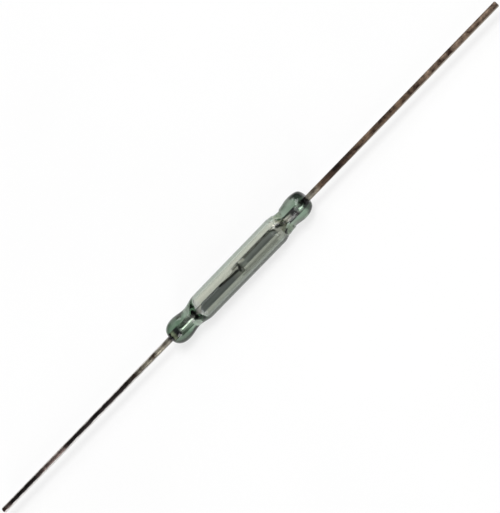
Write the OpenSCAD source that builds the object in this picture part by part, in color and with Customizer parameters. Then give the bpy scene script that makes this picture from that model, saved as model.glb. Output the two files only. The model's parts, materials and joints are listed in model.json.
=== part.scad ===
// Glass reed switch: two flat spring reeds sealed into the ends of a small glass tube.
// The tube's axis lies along X, the blades stand on edge and close along Y,
// and the origin is the middle of the glass.

/* [Glass envelope] */
// Length of the glass from end to end
glass_len = 15.2; // [14:0.1:18]
// Outside diameter of the straight tube
tube_d = 2.2; // [2:0.02:2.6]
// Thickness of the tube's wall
tube_wall = 0.28; // [0.2:0.01:0.36]
// Diameter of the waist between the tube and a sealed end
waist_d = 1.76; // [1.5:0.02:2]
// Diameter of a sealed end where it is fullest
bulb_d = 2.06; // [1.8:0.02:2.2]
// Distance from the end of the glass to the straight tube
shoulder_inset = 3.65; // [3.2:0.05:4.4]
// Distance from the end of the glass to the waist
waist_inset = 2.3; // [1.8:0.05:2.8]
// Distance from the end of the glass to the fullest place of a sealed end
bulb_inset = 1.1; // [0.8:0.05:1.4]
// Roundness of a sealed end, where 2 is an ellipse and more is squarer
bulb_fullness = 2.3; // [2:0.1:3]
// Length of the seal, where the glass grips the wire
seal_len = 2.15; // [1.8:0.05:2.9]
// Length over which the bore closes onto the wire
bore_taper = 1.25; // [0.8:0.05:1.6]

/* [Leads] */
// Length from the tip of one lead to the tip of the other
overall_len = 55; // [40:0.5:70]
// Diameter of the wire where the glass grips it
wire_d = 0.48; // [0.4:0.01:0.56]
// Thickness of the tinning on the lead outside the glass
tinning = 0.01; // [0.005:0.001:0.03]
// Length over which the tinning runs out towards the glass
tinning_runout = 0.6; // [0.55:0.05:1]
// Chamfer on the cut end of a lead
lead_chamfer = 0.06; // [0.02:0.01:0.1]

/* [Blades] */
// Bare round wire inside the glass, between the seal and the swaged stretch
wire_stub = 0.55; // [0.3:0.05:0.8]
// Length of the swaged stretch, where the round wire becomes a flat blade
swage_len = 0.5; // [0.4:0.02:0.8]
// Width of a blade
blade_w = 1; // [0.8:0.02:1.2]
// Thickness of a blade
blade_t = 0.18; // [0.14:0.01:0.24]
// Corner cut off each side of a blade's tip
tip_corner = 0.14; // [0.05:0.01:0.25]
// Length over which the two blades lie over one another
contact_overlap = 0.65; // [0.4:0.05:1.2]
// Gap between the open contacts
contact_gap = 0.12; // [0.06:0.01:0.2]
// Clearance at the line where a blade flexes on its swaged stretch
flex_clearance = 0.01; // [0.005:0.001:0.02]

/* [Hidden] */
$fn = 96;

// Points along each curved stretch of the glass
curve_steps = 14;
// Facets round each rounded edge of the swaged stretch
swage_fn = 32;
// Step that the stamping die leaves where the swaged stretch starts
die_step = 0.03;
// Thickness of the slices that the swaged stretch runs between; the first lies inside the wire
slice = 0.02;

tube_r = tube_d / 2;
bore_r = tube_r - tube_wall;
waist_r = waist_d / 2;
bulb_r = bulb_d / 2;
wire_r = wire_d / 2;
tinned_r = wire_r + tinning;

// Places along the axis, measured from the middle of the glass
end_x = glass_len / 2;
shoulder_x = end_x - shoulder_inset;
waist_x = end_x - waist_inset;
bulb_x = end_x - bulb_inset;
seal_x = end_x - seal_len;
swage_x = seal_x - wire_stub;
flex_x = swage_x - swage_len;
tip_x = contact_overlap / 2;
lead_tip_x = overall_len / 2;

// Distance of a blade's middle plane from the axis
blade_y = (contact_gap + blade_t) / 2;

// A step from 0 to 1 that starts and ends level
function ease(t) = (1 - cos(180 * t)) / 2;

// A point [radius, distance] of a stretch that eases from one radius to another
function eased(r1, r2, x1, x2, t) = [r1 + (r2 - r1) * ease(t), x1 + (x2 - x1) * t];

// The fractions along a curved stretch, without its first point
function fractions() = [for (i = [1:curve_steps]) i / curve_steps];

// Outside of one end of the glass, from the straight tube to the wire
function outer_edge() = concat(
    [[tube_r, shoulder_x]],
    [for (t = fractions()) eased(tube_r, waist_r, shoulder_x, waist_x, t)],
    [for (t = fractions()) eased(waist_r, bulb_r, waist_x, bulb_x, t)],
    [for (t = fractions()) dome(t)]
);

// A point of the rounded end, from its fullest place to the wire
function dome(t) = [
    wire_r + (bulb_r - wire_r) * pow(cos(90 * t), 2 / bulb_fullness),
    bulb_x + (end_x - bulb_x) * pow(sin(90 * t), 2 / bulb_fullness)
];

// Inside of one end of the glass, from the seal to the straight bore
function inner_edge() = concat(
    [[wire_r, seal_x]],
    [for (t = fractions()) eased(wire_r, bore_r, seal_x, seal_x - bore_taper, t)]
);

// The whole section of the glass on one side of the axis: one end and its mirror image
function glass_section() =
    let (half = concat(outer_edge(), inner_edge()))
    concat(half, [for (i = [len(half) - 1:-1:0]) [half[i][0], -half[i][1]]]);

// Turns a shape that stands along Z so that it lies along X
module along_x() {
    rotate([90, 0, 90])
        children();
}

// Section of a blade, standing on edge: two flat faces with rolled edges
module blade_section() {
    translate([-blade_y, 0]) {
        square([blade_t, blade_w - blade_t], center = true);
        for (side = [-1, 1])
            translate([0, side * (blade_w - blade_t) / 2])
                circle(d = blade_t);
    }
}

// Seen from the side: the stretch that is left when the tip's two corners are cut off
module tip_outline() {
    side_z = blade_w / 2 + tip_corner;
    polygon([
        [-flex_x, -side_z],
        [tip_x - 2 * tip_corner, -side_z],
        [tip_x, -side_z + 2 * tip_corner],
        [tip_x, side_z - 2 * tip_corner],
        [tip_x - 2 * tip_corner, side_z],
        [-flex_x, side_z]
    ]);
}

// Round stretch of a reed: the tinned lead, and the bare wire through the seal
module round_wire() {
    translate([-lead_tip_x, 0, 0])
        along_x()
            rotate_extrude()
                polygon([
                    [0, 0],
                    [tinned_r - lead_chamfer, 0],
                    [tinned_r, lead_chamfer],
                    [tinned_r, lead_tip_x - end_x - tinning_runout],
                    [wire_r, lead_tip_x - end_x],
                    [wire_r, lead_tip_x - swage_x],
                    [0, lead_tip_x - swage_x]
                ]);
}

// Stretch where the round wire was pressed out into the flat blade
module swaged_stretch() {
    hull($fn = swage_fn) {
        translate([-swage_x - slice, 0, 0])
            along_x()
                linear_extrude(slice)
                    circle(r = wire_r - die_step);
        translate([-flex_x - slice, 0, 0])
            along_x()
                linear_extrude(slice)
                    blade_section();
    }
}

// One reed's lead, at the -X end of the switch
module reed_lead() {
    color([0.44, 0.38, 0.33]) {
        round_wire();
        swaged_stretch();
    }
}

// One reed's blade, from its flexing line to its contact tip, where the outline trims it
module reed_blade() {
    root_x = -flex_x + flex_clearance;
    color([0.42, 0.43, 0.42])
        intersection() {
            translate([root_x, 0, 0])
                along_x()
                    linear_extrude(tip_x + tip_corner - root_x)
                        blade_section();
            rotate([90, 0, 0])
                linear_extrude(2 * (contact_gap + blade_t))
                    tip_outline();
        }
}

// The same reed at the other end, turned about Z
module other_end() {
    rotate([0, 0, 180])
        children();
}

module glass_envelope() {
    color([0.70, 0.78, 0.69, 0.4])
        along_x()
            rotate_extrude()
                polygon(glass_section());
}

module reed_a_lead() {
    reed_lead();
}

module reed_a_blade() {
    reed_blade();
}

module reed_b_lead() {
    other_end()
        reed_lead();
}

module reed_b_blade() {
    other_end()
        reed_blade();
}

glass_envelope();
reed_a_lead();
reed_a_blade();
reed_b_lead();
reed_b_blade();
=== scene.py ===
"""Glass reed switch: a green-tinted glass envelope with two flat spring reeds sealed into its ends."""
import json
import math

import bpy
from mathutils import Matrix, Vector


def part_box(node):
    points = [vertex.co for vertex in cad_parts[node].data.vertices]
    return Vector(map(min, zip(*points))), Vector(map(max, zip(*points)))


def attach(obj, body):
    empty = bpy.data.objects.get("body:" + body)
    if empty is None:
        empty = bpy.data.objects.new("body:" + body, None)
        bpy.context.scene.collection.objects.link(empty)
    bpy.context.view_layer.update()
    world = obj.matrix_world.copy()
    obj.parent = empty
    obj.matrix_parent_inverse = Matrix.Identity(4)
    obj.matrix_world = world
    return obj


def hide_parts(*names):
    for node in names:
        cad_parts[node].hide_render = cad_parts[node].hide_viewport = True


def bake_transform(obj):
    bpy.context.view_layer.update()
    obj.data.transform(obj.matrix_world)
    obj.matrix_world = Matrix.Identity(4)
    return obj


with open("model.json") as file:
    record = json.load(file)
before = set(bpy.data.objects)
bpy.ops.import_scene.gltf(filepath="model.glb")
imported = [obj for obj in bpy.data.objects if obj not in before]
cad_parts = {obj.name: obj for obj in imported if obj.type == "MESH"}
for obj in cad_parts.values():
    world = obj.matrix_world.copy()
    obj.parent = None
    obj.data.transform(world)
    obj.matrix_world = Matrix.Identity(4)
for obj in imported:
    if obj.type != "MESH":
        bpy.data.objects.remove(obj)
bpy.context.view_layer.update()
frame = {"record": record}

MM = 0.001
AXIS = Vector((1, 0, 0))
WHITE = (1.0, 1.0, 1.0)
BLACK = (0.0, 0.0, 0.0)

# Sizes from the frame
glass_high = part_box("glass_envelope")[1]
lead_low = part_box("reed_a_lead")[0]
blade_low, blade_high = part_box("reed_a_blade")
mounts = {mount["name"]: mount for mount in frame["record"]["mounts"]}
TUBE_R = glass_high.z
END_X = glass_high.x
LEAD_TIP_X = -lead_low.x
FLEX_X = -blade_low.x
TIP_X = blade_high.x
BLADE_HALF_W = blade_high.z
BLADE_HALF_T = (blade_high.y - blade_low.y) / 2
BLADE_Y = (blade_high.y + blade_low.y) / 2
TINNED_R = mounts["lead_a"]["dims"]["r_mm"] * MM

# Sizes that the frame's boxes don't give
TUBE_WALL = 0.28 * MM
WAIST_R = 0.88 * MM
BULB_R = 1.03 * MM
SHOULDER_INSET = 3.65 * MM
WAIST_INSET = 2.3 * MM
BULB_INSET = 1.1 * MM
BULB_FULLNESS = 2.3
SEAL_LEN = 2.15 * MM
BORE_TAPER = 1.25 * MM
WIRE_R = 0.24 * MM
TINNING_RUNOUT = 0.6 * MM
LEAD_CHAMFER = 0.06 * MM
SWAGE_LEN = 0.5 * MM
TIP_CORNER = 0.14 * MM

# The sealed ends as the flame left them: the bore of end A closes a little further in than the sizes above,
# and end B lies off the axis and is fuller on its upper side
SEAL_A_FURTHER = 0.14 * MM
TAPER_A_FURTHER = 0.05 * MM
SEAL_B_ASIDE = 0.085 * MM
SEAL_B_FULLER = 0.2 * MM

# Places along the glass and radii that follow from the sizes
SHOULDER_X = END_X - SHOULDER_INSET
WAIST_X = END_X - WAIST_INSET
BULB_X = END_X - BULB_INSET
BORE_R = TUBE_R - TUBE_WALL
MID_WALL_R = TUBE_R - TUBE_WALL / 2

# Meshing
GLASS_SEGMENTS = 160
CURVE_STEPS = 28
REED_RING = 64
SWAGE_STEPS = 14
TIP_STEPS = 6
SHARP_ANGLE = math.radians(40)
# The glass grips the wire at this share of the wire's radius, so that the two are in contact
BORE_SHARE = 0.9
# Short ring beside each curved stretch, which keeps the shading of the straight tube straight
SUPPORT = 0.05 * MM

# The photograph's size and the places of the two lead tips in it, in pixels
PHOTO_W = 500
PHOTO_H = 513
TIP_A_PIXEL = (3.35, 511.15)
TIP_B_PIXEL = (497.55, 2.75)
# Turn of the view about the switch's axis, from the blades' faces towards their upper edges
VIEW_TURN = math.radians(54)
# Tilt of the switch's axis, with the end of reed B nearer the camera
VIEW_TILT = math.radians(13.8)
VIEW_DISTANCE = 137 * MM
# Directions across the switch: towards its upper side in the photograph, and towards the camera
UPWARD = Vector((0, math.sin(VIEW_TURN), math.cos(VIEW_TURN)))
TOWARDS = Vector((0, -math.cos(VIEW_TURN), math.sin(VIEW_TURN)))
# The camera's sensor in mm, and how many times nearer and further than the switch it sees
SENSOR_W = 36.0
CLIP_RATIO = 100

# Floor: its size in m, the share of its white that doesn't depend on the lamps, and its greys by noise
FLOOR_SIZE = 2.0
FLOOR_GLOW = 0.72
FLOOR_GREYS = [(0.0, (0.26, 0.26, 0.26)), (1.0, (0.3, 0.3, 0.3))]

# Light: the white world's strength, the lamps' distance in m, and for each lamp its X direction, its angle
# about X from the front in degrees, its two sizes in m and its radiance
WORLD_STRENGTH = 0.12
LAMP_DISTANCE = 0.5
LAMPS = {
    "key_light": (0.34, 95, (0.22, 0.3), 8),
    "back_light": (-0.24, 145, (0.16, 0.8), 1.0),
    "front_light": (-0.44, 12, (0.14, 0.38), 7.5),
    "rim_light": (0.07, 132, (0.1, 0.2), 4),
    "fill_light": (-0.1, 54, (0.1, 0.2), 3),
}

# Noise patterns: scale, stretch along each axis, detail and roughness
EVEN = (1, 1, 1)
SMOKE_NOISE = (1500, EVEN, 3.0, 0.55)
MOTTLE_NOISE = (700, EVEN, 3.0, 0.55)
DRAW_LINES = (2200, (0.03, 1, 1), 2.0, 0.5)
ZONE_NOISE = (1400, EVEN, 3.0, 0.55)
STAIN_NOISE = (1300, EVEN, 4.0, 0.6)
BRUSH_NOISE = (2600, (0.05, 1, 1), 4.0, 0.6)
FLOOR_GRAIN = (40, EVEN, 3.0, 0.55)

# Glass: its tint and how dense that is, its bending of light, the tint of its gloss, and its draw lines
GLASS_TINT = (0.14, 0.365, 0.16)
GLASS_DENSITY = 720
GLASS_IOR = 1.5
GLASS_GLOSS = (0.5, 0.5, 0.5)
DRAW_STRENGTH = 0.3
DRAW_HEIGHT = 0.008 * MM

# Smoke on the outside, by the share of the glass's length from end A, with a near black painted shade on the
# tip of end B for the dark rim that refraction shows there: how far noise moves its edges, and how far they
# lean from the axis to the upper side, are shares of that length too
SMOKE_AND_SHADE = [
    (0.0, (0.9, 0.9, 0.9)),
    (0.04, (0.58, 0.58, 0.58)),
    (0.11, (0.58, 0.58, 0.58)),
    (0.15, WHITE),
    (0.84, WHITE),
    (0.88, (0.96, 0.87, 0.94)),
    (0.955, (0.96, 0.87, 0.94)),
    # Near black painted shade on the tip of end B
    (0.97, (0.06, 0.06, 0.06)),
]
SMOKE_STRAY = 0.02
SMOKE_LEAN = 0.006

# Mottled tint of the sealed ends, by noise, and where they start as a share of the half length
MOTTLE = [(0.4, (0.84, 1.0, 0.9)), (0.6, (1.0, 0.95, 0.97))]
SEALED_ENDS = [(0.72, BLACK), (0.8, WHITE)]

# The lower and the upper side of the tube in the photograph, as shares of its height
LOW_SIDE = 0.2
HIGH_SIDE = 0.8
# Faint film that sealing left on the bore, which also serves as painted shade: it dims the view through the
# tube, more on the lower side, where the floor under the tube lies in shadow. Its tint on those two sides
# and how far it reaches, as a share of the half length; where the bore of end A closes, past a place along
# X, it has another tint
FILM_SHADE_LOW = (0.45, 0.445, 0.405)
FILM_SHADE_HIGH = (0.77, 0.725, 0.67)
FILM_REACH = 0.7
FILM_END_A = -4.2 * MM
FILM_PAST_END = (0.78, 0.72, 0.76)
# Painted shade on the glass where it is seen edge on, nearly black on the lower side for the shadow under
# the
# tube, on the same two sides: which facings are edge on, and from which share of the length, in end B, the
# upper side's shade goes all round
RIM_SHADE_LOW = (0.04, 0.04, 0.036)
RIM_SHADE_HIGH = (0.32, 0.32, 0.3)
EDGE_ON = [(0.2, BLACK), (0.42, WHITE)]
RIM_AT_B = [(0.8, BLACK), (0.86, WHITE)]

# Finishes of the reeds: a colour and a roughness
CONTACT_END = ((0.38, 0.385, 0.37), 0.5)
CONTACT_SILVER = ((0.52, 0.52, 0.5), 0.3)
BLADE_GREY = ((0.295, 0.315, 0.345), 0.35)
LIGHT_BLADE = ((0.485, 0.51, 0.54), 0.35)
BARE_WIRE = ((0.97, 0.94, 0.94), 0.2)
SWAGED_WIRE = ((0.7, 0.69, 0.66), 0.45)
PINK_WIRE = ((0.62, 0.53, 0.53), 0.3)
OXIDE = ((0.025, 0.016, 0.02), 0.35)
PURPLE_OXIDE = ((0.1, 0.075, 0.1), 0.35)
# Straw oxide in end A, made light enough to stand in as a painted highlight there
STRAW_OXIDE_GLINT = ((0.95, 0.83, 0.66), 0.4)
PALE_TIN = ((0.21, 0.197, 0.16), 0.4)
BROWN_TIN = ((0.087, 0.059, 0.04), 0.4)
WARM_TIN = ((0.13, 0.095, 0.071), 0.4)
DARK_TIN = ((0.03, 0.018, 0.012), 0.4)
BLACK_TIN = ((0.012, 0.009, 0.009), 0.5)
PINK_TIN = ((0.11, 0.084, 0.078), 0.4)
REED_METALLIC = 0.8
BRUSH_STRENGTH = 0.15
BRUSH_HEIGHT = 0.01 * MM

# Where the finishes lie, by distance in mm from the middle of the glass
REED_A_ZONES = [
    (-0.3, CONTACT_END),
    (-0.22, CONTACT_SILVER),
    (0.7, BLADE_GREY),
    (4.1, BLADE_GREY),
    (4.3, SWAGED_WIRE),
    (4.7, SWAGED_WIRE),
    (5.1, BARE_WIRE),
    (6.35, BARE_WIRE),
    (6.65, PURPLE_OXIDE),
    (6.95, PURPLE_OXIDE),
    (7.07, STRAW_OXIDE_GLINT),
    (7.13, STRAW_OXIDE_GLINT),
    (7.22, OXIDE),
    (7.6, OXIDE),
    (7.9, PALE_TIN),
    (9.8, PALE_TIN),
    (13.0, BLACK_TIN),
    (19.5, BLACK_TIN),
    (20.5, PINK_TIN),
    (22.5, PINK_TIN),
    (23.5, BLACK_TIN),
    (26.3, BLACK_TIN),
    (27.2, PINK_TIN),
]
REED_B_ZONES = [
    (-0.3, CONTACT_END),
    (-0.22, CONTACT_SILVER),
    (0.9, LIGHT_BLADE),
    (4.0, LIGHT_BLADE),
    (4.2, BARE_WIRE),
    (4.9, BARE_WIRE),
    (5.1, PINK_WIRE),
    (5.75, PINK_WIRE),
    (6.05, PURPLE_OXIDE),
    (6.4, PURPLE_OXIDE),
    (6.7, BARE_WIRE),
    (7.15, OXIDE),
    (7.75, PALE_TIN),
    (8.2, PALE_TIN),
    (9.0, BROWN_TIN),
    (10.0, DARK_TIN),
    (11.4, DARK_TIN),
    (13.0, BROWN_TIN),
    (18.0, BROWN_TIN),
    (21.0, WARM_TIN),
]
# How far noise moves the zones' edges in mm, and how far those on the blades lean, as a distance along the
# reed for each distance up it
ZONE_STRAY = 0.25
ZONE_LEAN = 0.8
# The tips of the blades lie past the middle, so the zones are counted from this far before it, in mm
TIP_ROOM = 1
REED_SPAN = LEAD_TIP_X / MM + TIP_ROOM

# Other changes along the reeds, in mm from the middle: the blade ends, the lead begins, the tarnish's lower
# edge (the top of the painted reflection below it) rises, and the stretch in the seal where the wire's lower
# edge is darkened as painted shade
BLADE_END = [(4.6, WHITE), (5.0, BLACK)]
LEAD_START = [(7.6, BLACK), (8.6, WHITE)]
SHEEN_EDGE_RISE = [(9.0, BLACK), (15.0, WHITE)]
SHADED_STRETCH = [(5.0, BLACK), (5.2, WHITE), (7.0, WHITE), (7.2, BLACK)]
# That painted shade on the lower edge, by the share of the lead's height
SEALED_LOW_SHADE = [(0.02, WHITE), (0.07, BLACK)]
# Factors on the colour, by noise: stains on the leads, and brushing on the whole reed
STAINS = [(0.36, (0.22, 0.15, 0.12)), (0.48, (0.9, 0.86, 0.84)), (0.64, (1.9, 1.85, 1.8))]
BRUSHING = [(0.3, (0.75, 0.75, 0.75)), (0.7, (1.2, 1.2, 1.2))]

# The sides of each lead below and above its tarnish, on the side that faces the camera, are a painted
# reflection of the pale floor, and the darker tarnish above them is partly painted shade: the finish, and
# the lower and upper edge of the tarnish near the glass as shares of the wire's radius, with the rise of the
# lower edge along the lead
SHEEN_SIDE_A = ((0.8, 0.775, 0.75), 0.3, -0.8, 0.76, 0.2)
SHEEN_SIDE_B = ((0.39, 0.345, 0.29), 0.35, -0.9, 1.3, 0.15)
# Half widths of those edges as shares of the radius, how far noise moves them as a share of the width, and
# where the painted bright sides stop, by the share of the way from the back to the photograph's side
LOWER_SOFTNESS = 0.15
UPPER_SOFTNESS = 0.14
SHEEN_EDGE_STRAY = 0.3
SHEEN_FRONT = [(0.35, BLACK), (0.5, WHITE)]

# Marks on the reeds: from and to (mm from the middle of the glass, mm up as the photograph shows it), half
# width in mm, and colour. Most are painted light: highlights, and shade along edges, in gaps and on the
# wires
# Near black painted shade, in the gap at blade A's tip and along its upper edge near the tip
SHADE_BLACK = (0.02, 0.02, 0.02)
SHADE = (0.1, 0.1, 0.1)
PALE_SHADE = (0.25, 0.25, 0.24)
# Painted shade along blade B's upper rolled edge, darkest towards its swaged end
EDGE_SHADE = (0.22, 0.225, 0.22)
DARK_EDGE = (0.13, 0.135, 0.13)
LOW_EDGE = (0.31, 0.325, 0.34)
# Painted highlight on edges, corners and tips that catch the lamps
PAINTED_HIGHLIGHT = (0.9, 0.9, 0.88)
# Blade A: a painted highlight along its upper edge and at its corner by the swage, painted shade along that
# edge and across its tip, and shade on the wire in the seal
REED_A_MARKS = [
    ((1.4, 0.18), (-0.2, 0.14), 0.1, PAINTED_HIGHLIGHT),
    ((1.85, 0.13), (0.6, 0.0), 0.11, SHADE_BLACK),
    ((0.6, 0.0), (0.0, -0.02), 0.12, SHADE_BLACK),
    ((-0.04, -0.2), (-0.32, 0.12), 0.1, SHADE_BLACK),
    ((3.95, 0.22), (4.3, 0.0), 0.13, PAINTED_HIGHLIGHT),
    ((4.72, 0.2), (4.9, 0.02), 0.12, PALE_SHADE),
]
# Blade B: painted shade along its upper edge, a darker band low on its face, painted highlights near and at
# its tip, and shade where blade A's tip lies and along the wire in the seal
REED_B_MARKS = [
    ((1.0, 0.36), (3.75, 0.36), 0.17, EDGE_SHADE),
    ((3.3, 0.36), (3.75, 0.36), 0.15, DARK_EDGE),
    ((3.75, 0.36), (4.1, 0.12), 0.12, DARK_EDGE),
    ((0.9, -0.1), (4.0, -0.1), 0.13, LOW_EDGE),
    ((0.45, 0.33), (0.85, 0.25), 0.14, PAINTED_HIGHLIGHT),
    ((-0.3, 0.3), (0.05, 0.3), 0.14, PAINTED_HIGHLIGHT),
    ((0.28, 0.2), (0.36, 0.36), 0.09, PALE_SHADE),
    ((4.5, 0.2), (5.1, 0.05), 0.19, SHADE),
    ((5.3, 0.21), (5.9, 0.21), 0.1, SHADE),
    ((5.2, -0.19), (6.1, -0.19), 0.1, SHADE),
]
# Marks on the glass in the same form, but by X and with a factor on its tint: a stain where sealed end A
# meets its waist, painted shade on the end of sealed end B, a painted highlight over the wire in end A that
# brightens the reflected streak on it, a painted shade line below that wire, and a faint painted shade line
# below blade B
WAIST_STAIN = (0.4, 0.32, 0.33)
END_B_SHADE = (0.22, 0.2, 0.22)
STREAK_HIGHLIGHT = (1.6, 1.6, 1.6)
WIRE_SHADE_LINE = (0.1, 0.12, 0.1)
BLADE_SHADE_LINE = (0.45, 0.45, 0.43)
GLASS_MARKS = [
    ((-5.95, 0.8), (-5.7, 0.72), 0.16, WAIST_STAIN),
    ((6.8, 1.0), (7.5, 0.52), 0.2, END_B_SHADE),
    ((-5.3, -0.16), (-6.35, -0.16), 0.18, STREAK_HIGHLIGHT),
    ((-5.15, -0.46), (-6.55, -0.44), 0.09, WIRE_SHADE_LINE),
    ((0.2, -0.57), (3.9, -0.57), 0.12, BLADE_SHADE_LINE),
]
# How far from its middle a mark starts to fade, as a share of its half width
MARK_CORE = 0.5
# How far noise moves the edges of the marks on the reeds up or down, in mm
MARK_STRAY = 0.12

# Sockets of a mix node for colours: the factor, the two colours and the result
MIX_INPUTS = (0, 6, 7)
MIX_RESULT = 2


def ease(t):
    """A step from 0 to 1 that starts and ends level."""
    return (1 - math.cos(math.pi * t)) / 2


def clamp(t):
    """The value from 0 to 1 that is nearest to t."""
    return min(max(t, 0), 1)


def mix(a, b, t):
    """The value at a share t of the way from a to b."""
    return a + (b - a) * t


def grey(value):
    """A grey as a colour."""
    return (value,) * 3


def fractions(steps):
    """The fractions along a stretch, without its first point."""
    return [i / steps for i in range(1, steps + 1)]


def new_object(name, data):
    """An object in the scene."""
    made = bpy.data.objects.new(name, data)
    bpy.context.collection.objects.link(made)
    return made


def new_mesh(name, points, faces):
    """A smooth-shaded mesh object in the scene."""
    mesh = bpy.data.meshes.new(name)
    mesh.from_pydata(points, [], faces)
    mesh.validate()
    mesh.shade_smooth()
    return new_object(name, mesh)


def glass_end(seal_len, bore_taper):
    """The section of one end, from the straight tube round the sealed end to the straight bore."""
    seal_x = END_X - seal_len
    core_r = WIRE_R * BORE_SHARE
    steps = fractions(CURVE_STEPS)
    section = [(TUBE_R, SHOULDER_X - SUPPORT), (TUBE_R, SHOULDER_X)]
    section += [(mix(TUBE_R, WAIST_R, ease(t)), mix(SHOULDER_X, WAIST_X, t)) for t in steps]
    section += [(mix(WAIST_R, BULB_R, ease(t)), mix(WAIST_X, BULB_X, t)) for t in steps]
    power = 2 / BULB_FULLNESS
    for t in steps:
        turn = t * math.pi / 2
        radius = mix(core_r, BULB_R, max(0.0, math.cos(turn)) ** power)
        section.append((radius, mix(BULB_X, END_X, math.sin(turn) ** power)))
    section.append((core_r, seal_x))
    section += [(mix(core_r, BORE_R, ease(t)), seal_x - bore_taper * t) for t in steps]
    section.append((BORE_R, seal_x - bore_taper - SUPPORT))
    return section


def glass_profile():
    """The closed section of the glass as (radius, X): end B from outside to bore, then end A back out."""
    end_a = glass_end(SEAL_LEN + SEAL_A_FURTHER, BORE_TAPER + TAPER_A_FURTHER)
    mirrored = [(r, -x) for r, x in reversed(end_a)]
    return glass_end(SEAL_LEN, BORE_TAPER) + mirrored


def revolved(name, profile, segments):
    """A closed section turned about X."""
    points = []
    for r, x in profile:
        for i in range(segments):
            turn = 2 * math.pi * i / segments
            points.append((x, r * math.cos(turn), r * math.sin(turn)))
    count = len(profile)
    faces = []
    for j in range(count):
        k = (j + 1) % count
        for i in range(segments):
            n = (i + 1) % segments
            faces.append((j * segments + i, j * segments + n, k * segments + n, k * segments + i))
    return new_mesh(name, points, faces)


def set_off_axis(glass):
    """Moves the outside of sealed end B off the axis and fills its upper side; the seal's core stays."""
    for vertex in glass.data.vertices:
        place = vertex.co.copy()
        radius = math.hypot(place.y, place.z)
        if place.x < END_X - SEAL_LEN and radius < MID_WALL_R:
            continue
        outer = clamp((radius - WIRE_R) / (WAIST_R - WIRE_R))
        to_waist = ease(clamp((place.x - SHOULDER_X) / (WAIST_X - SHOULDER_X)))
        to_end = ease(clamp((place.x - BULB_X) / (END_X - BULB_X)))
        up = max(UPWARD.dot(place), 0) / BULB_R
        vertex.co += UPWARD * SEAL_B_ASIDE * to_waist * outer
        vertex.co.x += SEAL_B_FULLER * to_end * up * outer


def reed_stations():
    """The reed's sections from the lead's end to the blade's tip: X, half thickness, half width and Y."""
    swage_x = -FLEX_X - SWAGE_LEN
    rounded = [(-LEAD_TIP_X, TINNED_R - LEAD_CHAMFER), (-LEAD_TIP_X + LEAD_CHAMFER, TINNED_R)]
    rounded += [(-END_X - TINNING_RUNOUT, TINNED_R), (-END_X, WIRE_R), (swage_x, WIRE_R)]
    stations = [(x, r, r, 0.0) for x, r in rounded]
    for t in fractions(SWAGE_STEPS):
        s = ease(t)
        half_t = mix(WIRE_R, BLADE_HALF_T, s)
        stations.append((mix(swage_x, -FLEX_X, t), half_t, mix(WIRE_R, BLADE_HALF_W, s), BLADE_Y * s))
    for t in [0.0] + fractions(TIP_STEPS):
        turn = t * math.pi / 2
        x = TIP_X - TIP_CORNER * (1 - math.sin(turn))
        half_w = BLADE_HALF_W - TIP_CORNER * (1 - math.cos(turn))
        stations.append((x, BLADE_HALF_T, half_w, BLADE_Y))
    return stations


def lofted(name, stations, ring, turn):
    """A closed skin over sections with flat sides and rolled edges."""
    points = []
    for x, half_t, half_w, y in stations:
        for i in range(ring):
            a = 2 * math.pi * (i + 0.5) / ring
            flat = math.copysign(half_w - half_t, math.sin(a))
            points.append(turn @ Vector((x, y + half_t * math.cos(a), flat + half_t * math.sin(a))))
    faces = [tuple(range(ring))]
    for j in range(len(stations) - 1):
        for i in range(ring):
            n = (i + 1) % ring
            faces.append((j * ring + i, (j + 1) * ring + i, (j + 1) * ring + n, j * ring + n))
    last = (len(stations) - 1) * ring
    faces.append(tuple(last + i for i in reversed(range(ring))))
    return new_mesh(name, points, faces)


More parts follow.
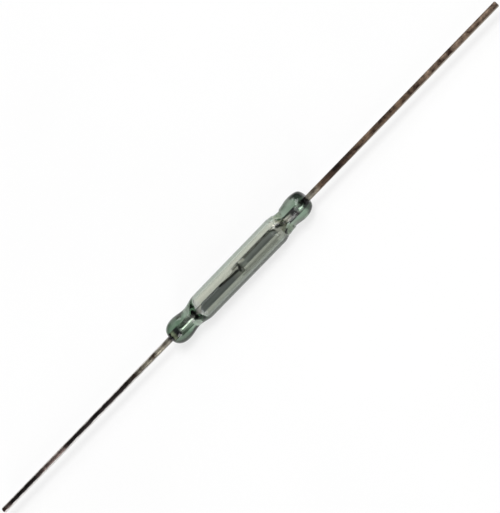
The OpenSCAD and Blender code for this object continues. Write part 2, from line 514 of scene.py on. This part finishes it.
class Nodes:
    """A material's nodes, with a short way to write each kind."""

    def __init__(self, name):
        self.material = bpy.data.materials.new(name)
        self.material.use_nodes = True
        self.tree = self.material.node_tree
        self.tree.nodes.clear()
        self.place = self.add("ShaderNodeTexCoord").outputs["Object"]
        split = self.add("ShaderNodeSeparateXYZ")
        self.link(self.place, split.inputs[0])
        self.x = split.outputs["X"]

    def add(self, kind, **values):
        """A node with some of its values set."""
        node = self.tree.nodes.new(kind)
        for key, value in values.items():
            setattr(node, key, value)
        return node

    def link(self, source, target):
        """A link from an output to an input."""
        self.tree.links.new(source, target)

    def feed(self, target, value):
        """Gives an input a number, a colour or another node's output."""
        if isinstance(value, (int, float)):
            target.default_value = value
        elif isinstance(value, tuple):
            target.default_value = (*value, 1)
        else:
            self.link(value, target)

    def maths(self, operation, a, b=0):
        """A maths node on one or two values, each an output or a number."""
        node = self.add("ShaderNodeMath", operation=operation)
        self.feed(node.inputs[0], a)
        self.feed(node.inputs[1], b)
        return node.outputs[0]

    def mixed(self, factor, a, b, blend="MIX"):
        """A mix of two colours, each an output or a colour."""
        node = self.add("ShaderNodeMix", data_type="RGBA", blend_type=blend)
        for index, value in zip(MIX_INPUTS, (factor, a, b)):
            self.feed(node.inputs[index], value)
        return node.outputs[MIX_RESULT]

    def times(self, a, b):
        """The product of two colours."""
        return self.mixed(1.0, a, b, "MULTIPLY")

    def ramp(self, factor, stops):
        """A colour ramp with the given (position, colour) stops."""
        node = self.add("ShaderNodeValToRGB")
        elements = node.color_ramp.elements
        while len(elements) < len(stops):
            elements.new(0.5)
        for element, (position, colour) in zip(elements, stops):
            element.position = position
            element.color = (*colour, 1)
        self.link(factor, node.inputs["Fac"])
        return node.outputs["Color"]

    def noise(self, pattern):
        """Noise over the object."""
        scale, stretch, detail, roughness = pattern
        mapping = self.add("ShaderNodeMapping")
        mapping.inputs["Scale"].default_value = stretch
        self.link(self.place, mapping.inputs["Vector"])
        node = self.add("ShaderNodeTexNoise")
        node.inputs["Scale"].default_value = scale
        node.inputs["Detail"].default_value = detail
        node.inputs["Roughness"].default_value = roughness
        self.link(mapping.outputs[0], node.inputs["Vector"])
        return node.outputs["Fac"]

    def strayed(self, value, noise, amount):
        """A value that noise moves up or down by at most half an amount."""
        stray = self.maths("MULTIPLY", self.maths("SUBTRACT", noise, 0.5), amount)
        return self.maths("ADD", value, stray)

    def share(self, value, half):
        """Where a value lies from -half to half, as a share from 0 to 1."""
        return self.maths("ADD", self.maths("DIVIDE", value, 2 * half), 0.5)

    def reach(self, direction):
        """How far a place lies in a direction."""
        node = self.add("ShaderNodeVectorMath", operation="DOT_PRODUCT")
        self.link(self.place, node.inputs[0])
        node.inputs[1].default_value = direction
        return node.outputs["Value"]

    def radius(self):
        """How far a place lies from the switch's axis."""
        across = self.add("ShaderNodeVectorMath", operation="MULTIPLY")
        self.link(self.place, across.inputs[0])
        across.inputs[1].default_value = (0, 1, 1)
        length = self.add("ShaderNodeVectorMath", operation="LENGTH")
        self.link(across.outputs["Vector"], length.inputs[0])
        return length.outputs["Value"]

    def stroke(self, x, up, start, end, half_width):
        """A mask that is 1 along a stroke from one place to another and fades out at its edges."""
        run_x, run_up = end[0] - start[0], end[1] - start[1]
        square = run_x * run_x + run_up * run_up
        from_x = self.maths("SUBTRACT", x, start[0])
        from_up = self.maths("SUBTRACT", up, start[1])
        share_x = self.maths("MULTIPLY", from_x, run_x / square)
        share_up = self.maths("MULTIPLY", from_up, run_up / square)
        share = self.maths("MAXIMUM", self.maths("ADD", share_x, share_up), 0)
        share = self.maths("MINIMUM", share, 1)
        off_x = self.maths("SUBTRACT", from_x, self.maths("MULTIPLY", share, run_x))
        off_up = self.maths("SUBTRACT", from_up, self.maths("MULTIPLY", share, run_up))
        square_x = self.maths("MULTIPLY", off_x, off_x)
        square_up = self.maths("MULTIPLY", off_up, off_up)
        off = self.maths("SQRT", self.maths("ADD", square_x, square_up))
        return self.ramp(self.maths("DIVIDE", off, half_width), [(MARK_CORE, WHITE), (1.0, BLACK)])

    def along_reed(self, outward, stops, room=0):
        """A ramp with stops in mm from the middle of the glass, counted from a little room before it."""
        place = self.maths("DIVIDE", self.maths("ADD", outward, room), REED_SPAN)
        return self.ramp(place, [((x + room) / REED_SPAN, colour) for x, colour in stops])

    def bump(self, shader, height, strength, distance):
        """Gives a shader a bumpy surface."""
        node = self.add("ShaderNodeBump")
        node.inputs["Strength"].default_value = strength
        node.inputs["Distance"].default_value = distance
        self.link(height, node.inputs["Height"])
        self.link(node.outputs[0], shader.inputs["Normal"])

    def finish(self, surface, volume=None):
        """The material, with its shaders on its output."""
        output = self.add("ShaderNodeOutputMaterial")
        self.link(surface.outputs[0], output.inputs["Surface"])
        if volume:
            self.link(volume.outputs[0], output.inputs["Volume"])
        return self.material


def rim_shade(n, along):
    """A painted shade on the glass where it is seen edge on, darkest on the lower side, and white elsewhere.
    """
    share = n.share(n.reach(UPWARD), TUBE_R)
    sides = n.ramp(share, [(LOW_SIDE, RIM_SHADE_LOW), (HIGH_SIDE, RIM_SHADE_HIGH)])
    rim = n.mixed(n.ramp(along, RIM_AT_B), sides, RIM_SHADE_HIGH)
    facing = n.add("ShaderNodeLayerWeight").outputs["Facing"]
    return n.mixed(n.ramp(facing, EDGE_ON), WHITE, rim)


def outside_tint(n, outward):
    """The tint of the glass's outside: smoke with painted shade at end B, the rim's painted shade, the
    mottled sealed ends, and the marks, most of them painted shade and one a painted highlight.
    """
    height = n.reach(UPWARD)
    along = n.strayed(n.share(n.x, END_X), n.noise(SMOKE_NOISE), SMOKE_STRAY)
    along = n.maths("ADD", along, n.maths("MULTIPLY", height, SMOKE_LEAN / TUBE_R))
    tint = n.times(n.ramp(along, SMOKE_AND_SHADE), rim_shade(n, along))
    mottled = n.times(tint, n.ramp(n.noise(MOTTLE_NOISE), MOTTLE))
    tint = n.mixed(n.ramp(outward, SEALED_ENDS), tint, mottled)
    x = n.maths("DIVIDE", n.x, MM)
    up = n.maths("DIVIDE", height, MM)
    for start, end, half_width, factor in GLASS_MARKS:
        tint = n.mixed(n.stroke(x, up, start, end, half_width), tint, n.times(tint, factor))
    return tint


def bore_film_shade(n):
    """The tint of the film on the bore, darker on the lower side as painted shade."""
    share = n.share(n.reach(UPWARD), TUBE_R)
    film = n.ramp(share, [(LOW_SIDE, FILM_SHADE_LOW), (HIGH_SIDE, FILM_SHADE_HIGH)])
    return n.mixed(n.maths("GREATER_THAN", n.x, FILM_END_A), FILM_PAST_END, film)


def glass_material():
    """Green glass with faint draw lines, smoked where the flame closed it, painted shade on its edges and
    end B, and a film on its bore that is also painted shade.
    """
    n = Nodes("green_glass")
    outward = n.maths("DIVIDE", n.maths("ABSOLUTE", n.x), END_X)
    on_bore = n.maths("LESS_THAN", n.radius(), MID_WALL_R)
    filmed = n.maths("MULTIPLY", on_bore, n.maths("LESS_THAN", outward, FILM_REACH))
    shader = n.add("ShaderNodeBsdfPrincipled")
    n.link(n.mixed(filmed, outside_tint(n, outward), bore_film_shade(n)), shader.inputs["Base Color"])
    shader.inputs["Roughness"].default_value = 0.0
    shader.inputs["IOR"].default_value = GLASS_IOR
    shader.inputs["Specular Tint"].default_value = (*GLASS_GLOSS, 1)
    shader.inputs["Transmission Weight"].default_value = 1.0
    n.bump(shader, n.noise(DRAW_LINES), DRAW_STRENGTH, DRAW_HEIGHT)
    absorption = n.add("ShaderNodeVolumeAbsorption")
    absorption.inputs["Color"].default_value = (*GLASS_TINT, 1)
    absorption.inputs["Density"].default_value = GLASS_DENSITY
    return n.finish(shader, absorption)


def sheen_mask(n, outward, on_lead, stains, low_edge, high_edge, rise):
    """A mask of the painted reflection on a lead's sides below and above its tarnish, on the photograph's
    side of it.
    """
    height = n.strayed(n.share(n.reach(UPWARD), TINNED_R), stains, SHEEN_EDGE_STRAY)
    risen = n.maths("MULTIPLY", n.along_reed(outward, SHEEN_EDGE_RISE), rise / 2)
    below = n.ramp(n.maths("SUBTRACT", height, risen), [
        ((low_edge - LOWER_SOFTNESS + 1) / 2, WHITE),
        ((low_edge + LOWER_SOFTNESS + 1) / 2, BLACK),
    ])
    above = n.ramp(n.maths("SUBTRACT", height, high_edge / 2), [
        ((1 - UPPER_SOFTNESS) / 2, BLACK),
        ((1 + UPPER_SOFTNESS) / 2, WHITE),
    ])
    near = n.strayed(n.share(n.reach(TOWARDS), TINNED_R), stains, SHEEN_EDGE_STRAY)
    sheen = n.times(n.mixed(1.0, below, above, "ADD"), on_lead)
    return n.times(sheen, n.ramp(near, SHEEN_FRONT))


def reed_material(name, side, zones, sheen_side, marks):
    """Wire metal whose finish follows the distance from the middle of the glass, with painted highlights and
    shade in its marks, painted shade along the wire's lower edge in the seals, and a painted reflection of
    the floor on the leads' lower sides.
    """
    n = Nodes(name)
    outward = n.maths("MULTIPLY", n.x, side / MM)
    up = n.maths("DIVIDE", n.reach(UPWARD), MM)
    wander = n.noise(ZONE_NOISE)
    stains = n.noise(STAIN_NOISE)
    brush = n.noise(BRUSH_NOISE)
    ragged = n.strayed(outward, wander, ZONE_STRAY)
    lean = n.maths("MULTIPLY", n.maths("MULTIPLY", up, ZONE_LEAN), n.along_reed(outward, BLADE_END))
    zoned = n.maths("ADD", ragged, lean)
    colour = n.along_reed(zoned, [(x, finish[0]) for x, finish in zones], TIP_ROOM)
    roughness = n.along_reed(zoned, [(x, grey(finish[1])) for x, finish in zones], TIP_ROOM)
    on_lead = n.along_reed(outward, LEAD_START)
    colour = n.mixed(on_lead, colour, n.times(colour, n.ramp(stains, STAINS)))
    # Painted reflection of the floor on the lead's bright sides
    sheen_colour, sheen_roughness, *edges = sheen_side
    sheen = sheen_mask(n, outward, on_lead, stains, *edges)
    colour = n.mixed(sheen, colour, sheen_colour)
    roughness = n.mixed(sheen, roughness, grey(sheen_roughness))
    # Painted shade along the wire's lower edge in the seals
    low_edge = n.ramp(n.share(n.reach(UPWARD), TINNED_R), SEALED_LOW_SHADE)
    sealed = n.along_reed(zoned, SHADED_STRETCH, TIP_ROOM)
    colour = n.mixed(n.times(low_edge, sealed), colour, OXIDE[0])
    colour = n.times(colour, n.ramp(brush, BRUSHING))
    rough_up = n.strayed(up, wander, MARK_STRAY)
    for start, end, half_width, mark in marks:
        colour = n.mixed(n.stroke(ragged, rough_up, start, end, half_width), colour, mark)
    shader = n.add("ShaderNodeBsdfPrincipled")
    n.link(colour, shader.inputs["Base Color"])
    n.link(roughness, shader.inputs["Roughness"])
    shader.inputs["Metallic"].default_value = REED_METALLIC
    n.bump(shader, brush, BRUSH_STRENGTH, BRUSH_HEIGHT)
    return n.finish(shader)


def floor_material():
    """A pale floor that shows white to the eye and in reflections, less the shadow on it."""
    n = Nodes("pale_floor")
    shade = n.add("ShaderNodeBsdfDiffuse")
    n.link(n.ramp(n.noise(FLOOR_GRAIN), FLOOR_GREYS), shade.inputs["Color"])
    path = n.add("ShaderNodeLightPath").outputs
    seen = n.maths("MAXIMUM", path["Is Camera Ray"], path["Is Glossy Ray"])
    seen = n.maths("MAXIMUM", seen, path["Is Transmission Ray"])
    glow = n.add("ShaderNodeEmission")
    glow.inputs["Color"].default_value = (*WHITE, 1)
    n.link(n.maths("MULTIPLY", seen, FLOOR_GLOW), glow.inputs["Strength"])
    both = n.add("ShaderNodeAddShader")
    n.link(shade.outputs[0], both.inputs[0])
    n.link(glow.outputs[0], both.inputs[1])
    return n.finish(both)


def glass_piece():
    """The glass envelope, on the body that holds the switch."""
    glass = revolved("glass_tube", glass_profile(), GLASS_SEGMENTS)
    set_off_axis(glass)
    glass.data.materials.append(glass_material())
    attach(glass, "root")
    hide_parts("glass_envelope")


def reed_piece(letter, side, turn, zones, sheen_side, marks):
    """One whole reed, lead and blade, with its swaged stretch between them."""
    reed = lofted(f"reed_{letter}", reed_stations(), REED_RING, turn)
    reed.data.set_sharp_from_angle(angle=SHARP_ANGLE)
    reed.data.materials.append(reed_material(f"reed_{letter}_metal", side, zones, sheen_side, marks))
    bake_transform(reed)
    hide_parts(f"reed_{letter}_lead", f"reed_{letter}_blade")


def floor_piece():
    """The floor that the tube lies on."""
    half = FLOOR_SIZE / 2
    points = [(-half, -half, 0), (half, -half, 0), (half, half, 0), (-half, half, 0)]
    floor = new_mesh("floor", points, [(0, 1, 2, 3)])
    floor.location.z = -TUBE_R
    floor.data.materials.append(floor_material())


def aim(made, place, right, up, back):
    """Puts an object at a place with its own axes in three directions."""
    axes = Matrix((right, up, back)).transposed().to_4x4()
    made.matrix_world = Matrix.Translation(place) @ axes


def view_axes():
    """The camera's right, up and back directions in the frame."""
    back = AXIS * math.sin(VIEW_TILT) + TOWARDS * math.cos(VIEW_TILT)
    along = AXIS * math.cos(VIEW_TILT) - TOWARDS * math.sin(VIEW_TILT)
    rise = math.atan2(TIP_A_PIXEL[1] - TIP_B_PIXEL[1], TIP_B_PIXEL[0] - TIP_A_PIXEL[0])
    right = along * math.cos(rise) - UPWARD * math.sin(rise)
    up = along * math.sin(rise) + UPWARD * math.cos(rise)
    return right, up, back


def camera():
    """A camera that puts the two lead tips on their pixels."""
    right, up, back = view_axes()
    length = math.dist(TIP_A_PIXEL, TIP_B_PIXEL)
    half_across = LEAD_TIP_X * math.cos(VIEW_TILT)
    half_deep = LEAD_TIP_X * math.sin(VIEW_TILT)
    near = VIEW_DISTANCE - half_deep
    far = VIEW_DISTANCE + half_deep
    # Focal length in pixels, and the image of the frame's origin between the two tips
    focal = length / (half_across * (1 / near + 1 / far))
    share = focal * half_across / near / length
    origin_x = mix(TIP_B_PIXEL[0], TIP_A_PIXEL[0], share)
    origin_y = mix(TIP_B_PIXEL[1], TIP_A_PIXEL[1], share)
    data = bpy.data.cameras.new("camera")
    data.sensor_width = SENSOR_W
    data.lens = SENSOR_W * focal / max(PHOTO_W, PHOTO_H)
    data.clip_start = VIEW_DISTANCE / CLIP_RATIO
    data.clip_end = VIEW_DISTANCE * CLIP_RATIO
    made = new_object("camera", data)
    aside = (PHOTO_W / 2 - origin_x) * VIEW_DISTANCE / focal
    above = (origin_y - PHOTO_H / 2) * VIEW_DISTANCE / focal
    aim(made, back * VIEW_DISTANCE + right * aside + up * above, right, up, back)
    bpy.context.scene.camera = made


def soft_light(name, lean, degrees, size, radiance):
    """An area light that faces the switch from an X direction (lean) and an angle about X from the front."""
    level = math.sqrt(1 - lean * lean)
    turn = math.radians(degrees)
    back = Vector((lean, -level * math.cos(turn), level * math.sin(turn)))
    along = (AXIS - back * lean).normalized()
    data = bpy.data.lights.new(name, "AREA")
    data.shape = "RECTANGLE"
    data.size, data.size_y = size
    data.energy = math.pi * size[0] * size[1] * radiance
    aim(new_object(name, data), back * LAMP_DISTANCE, along, back.cross(along), back)


def lighting():
    """A dim white world and the lamps."""
    world = bpy.data.worlds.new("studio")
    bpy.context.scene.world = world
    world.use_nodes = True
    background = world.node_tree.nodes["Background"]
    background.inputs["Color"].default_value = (*WHITE, 1)
    background.inputs["Strength"].default_value = WORLD_STRENGTH
    for name, lamp in LAMPS.items():
        soft_light(name, *lamp)


glass_piece()
reed_piece("a", -1, Matrix.Identity(3), REED_A_ZONES, SHEEN_SIDE_A, REED_A_MARKS)
reed_piece("b", 1, Matrix.Rotation(math.pi, 3, "Z"), REED_B_ZONES, SHEEN_SIDE_B, REED_B_MARKS)
floor_piece()
camera()
lighting()
bpy.context.scene.view_settings.view_transform = "Standard"
